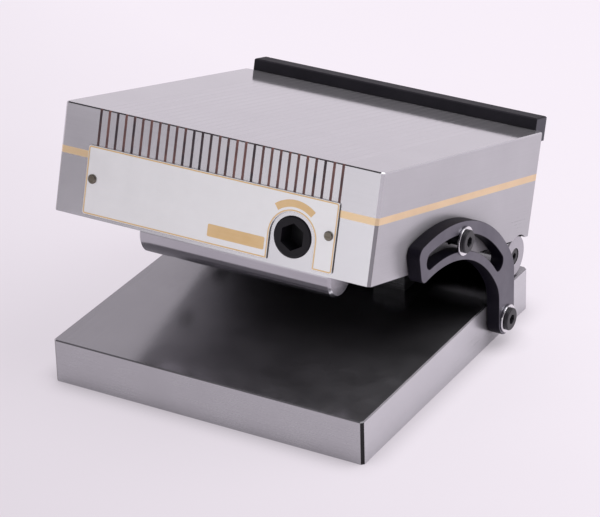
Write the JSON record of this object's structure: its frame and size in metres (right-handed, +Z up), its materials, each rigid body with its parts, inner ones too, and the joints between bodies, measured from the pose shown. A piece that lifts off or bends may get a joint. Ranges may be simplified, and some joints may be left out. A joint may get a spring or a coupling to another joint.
{
  "type": "magnetic sine table",
  "caption": "Permanent-magnet chuck with a laminated pole face, hinged on a flat base plate, tilted over a gauge-block roller and held by a slotted quadrant link",
  "frame": {"origin": "middle of the base plate's underside", "axes": "+Z up, the front with the actuator faces -Y, +X to the right where the quadrant link is"},
  "size_m": [0.1588, 0.1755, 0.1227],
  "materials": {
    "ground_steel": "ground and lapped",
    "edge_steel": "surface ground",
    "pole_steel": "surface ground",
    "brass": "satin",
    "bronze": "turned",
    "black_steel": "blackened",
    "link_steel": "blanked and ground",
    "plate": "anodised, gold border",
    "magnet": "sintered",
    "tray": "milled",
    "seal": "moulded",
    "bright_steel": "turned"
  },
  "bodies": {
    "base": {"base_plate": "ground_steel", "hinge_lug_left": "ground_steel", "hinge_lug_right": "ground_steel", "hinge_bush_left": "bronze", "hinge_bush_right": "bronze", "lug_screws": "black_steel", "pivot_screw": "black_steel", "pivot_washer": "bright_steel"},
    "chuck": {"chuck_housing": "ground_steel", "spacer_band": "brass", "end_block_left": "edge_steel", "end_block_right": "edge_steel", "pole_laminations": "pole_steel", "pole_separators": "brass", "plate_screws": "black_steel", "stop_rail": "black_steel", "rail_screws": "black_steel", "name_plate": "plate", "name_plate_pins": "bright_steel", "front_roller": "bright_steel", "front_roller_screws": "black_steel", "hinge_sleeve_left": "bright_steel", "hinge_sleeve_centre": "bright_steel", "hinge_sleeve_right": "bright_steel", "hinge_shaft": "bright_steel", "sleeve_screws": "black_steel", "shaft_end_screws": "black_steel", "tray_runners": "bronze"},
    "magnet_pack": {"magnet_tray": "tray", "magnet_bars": "magnet", "pack_pole_bars": "pole_steel"},
    "actuator": {"actuator_shaft": "black_steel", "actuator_seal": "seal", "actuator_clip": "black_steel"},
    "link": {"quadrant_link": "link_steel"},
    "clamp_seat": {"clamp_washer": "bright_steel"},
    "clamp": {"clamp_screw": "black_steel"}
  },
  "joints": [
    {"name": "tilt", "type": "hinge", "parent": "base", "child": "chuck", "pos_m": [0, 0.0642, 0.0301], "axis": [-1, 0, 0], "range_deg": [-16.8, 28.2]},
    {"name": "link_swing", "type": "hinge", "parent": "base", "child": "link", "pos_m": [0.0782, 0.0422, 0.0122], "axis": [-1, 0, 0], "range_deg": [-21, 34.5]},
    {"name": "clamp_lift", "type": "slide", "parent": "chuck", "child": "clamp_seat", "axis": [1, 0, 0], "range_m": [0, 0.0005]},
    {"name": "clamp_turn", "type": "hinge", "parent": "clamp_seat", "child": "clamp", "pos_m": [0.08225, 0.00214, 0.06847], "axis": [1, 0, 0], "range_deg": [0, 181]},
    {"name": "magnet_slide", "type": "slide", "parent": "chuck", "child": "magnet_pack", "axis": [1, 0, 0], "range_m": [0, 0.00407]},
    {"name": "actuator_turn", "type": "hinge", "parent": "chuck", "child": "actuator", "pos_m": [0.0382, -0.0638, 0.09052], "axis": [0, 0.9573, -0.289], "range_deg": [0, 181]}
  ],
  "couplings": [
    {"joint": "link_swing", "follows": "tilt", "ratio": 1.2},
    {"joint": "clamp_turn", "follows": "clamp_lift", "rad_per_m": 6283.2},
    {"joint": "actuator_turn", "follows": "magnet_slide", "rad_per_m": 771.89}
  ]
}
